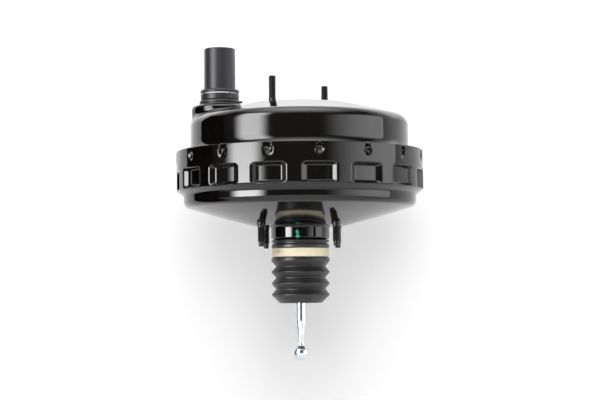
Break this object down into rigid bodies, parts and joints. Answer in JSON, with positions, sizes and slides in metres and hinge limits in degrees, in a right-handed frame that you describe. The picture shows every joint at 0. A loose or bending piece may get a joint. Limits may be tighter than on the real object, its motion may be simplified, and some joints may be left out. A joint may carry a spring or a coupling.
{
  "type": "brake booster",
  "caption": "Vacuum brake booster: black two-shell drum with pocketed rim, hose connector, fixing studs, bellows boot and a ball-ended push rod that slides and tilts.",
  "frame": {"origin": "centre of the face that seats on the bulkhead, on the booster's axis", "axes": "+Z along the axis towards the master cylinder, -Z along the push rod; the vacuum connector stands on the -X side"},
  "size_m": [0.28, 0.28, 0.3559],
  "materials": {
    "shell_black": "gloss black cathodic paint",
    "stud_black": "satin black phosphate",
    "pressed_steel": "plain pressed steel",
    "zinc_steel": "bright zinc plating",
    "spring_steel": "oiled spring wire",
    "black_rubber": "matt moulded rubber",
    "valve_plastic": "moulded phenolic",
    "bush_plastic": "natural nylon",
    "port_plastic": "satin dark grey nylon",
    "cream_ring": "cream nylon, slightly stained",
    "filter_foam": "open foam",
    "felt": "pressed felt"
  },
  "bodies": {
    "housing": {"rear_shell": "shell_black", "rear_plate": "pressed_steel", "bulkhead_studs": "stud_black", "guide_bush": "bush_plastic", "neck_seal": "black_rubber", "seal_retainer": "zinc_steel", "front_shell": "shell_black", "front_plate": "pressed_steel", "master_cylinder_studs": "stud_black", "diaphragm": "black_rubber", "return_spring": "spring_steel", "boot": "black_rubber", "boot_ring": "cream_ring", "port_grommet": "black_rubber", "vacuum_connector": "port_plastic", "check_spring": "spring_steel", "check_cage": "port_plastic"},
    "piston": {"diaphragm_plate": "pressed_steel", "valve_body": "valve_plastic", "stop_key": "pressed_steel", "poppet_valve": "black_rubber", "poppet_retainer": "pressed_steel", "poppet_spring": "spring_steel", "rod_return_spring": "spring_steel", "air_filter": "filter_foam", "silencer": "felt", "reaction_disc": "black_rubber", "output_rod": "zinc_steel", "output_rod_tip": "zinc_steel", "output_rod_retainer": "pressed_steel"},
    "plunger": {"valve_plunger": "zinc_steel"},
    "push_rod": {"input_rod": "zinc_steel"},
    "check_valve": {"check_disc": "black_rubber"}
  },
  "joints": [
    {"name": "piston_slide", "type": "slide", "parent": "housing", "child": "piston", "axis": [0, 0, 1], "range_m": [0, 0.036], "stiffness_N_per_m": 4000, "springref_m": -0.04, "deforming": ["return_spring", "boot", "diaphragm"]},
    {"name": "rod_slide", "type": "slide", "parent": "piston", "child": "plunger", "axis": [0, 0, 1], "range_m": [0, 0.0015], "stiffness_N_per_m": 3000, "springref_m": -0.006, "deforming": ["rod_return_spring", "poppet_spring"]},
    {"name": "rod_tilt", "type": "hinge", "parent": "plunger", "child": "push_rod", "pos_m": [0, 0, -0.012], "axis": [0, 1, 0], "range_deg": [-3.5, 3.5], "stiffness_Nm_per_rad": 0.6},
    {"name": "check_valve_lift", "type": "slide", "parent": "housing", "child": "check_valve", "axis": [0, 0, 1], "range_m": [0, 0.003], "stiffness_N_per_m": 200, "springref_m": -0.005, "deforming": ["check_spring"]}
  ]
}
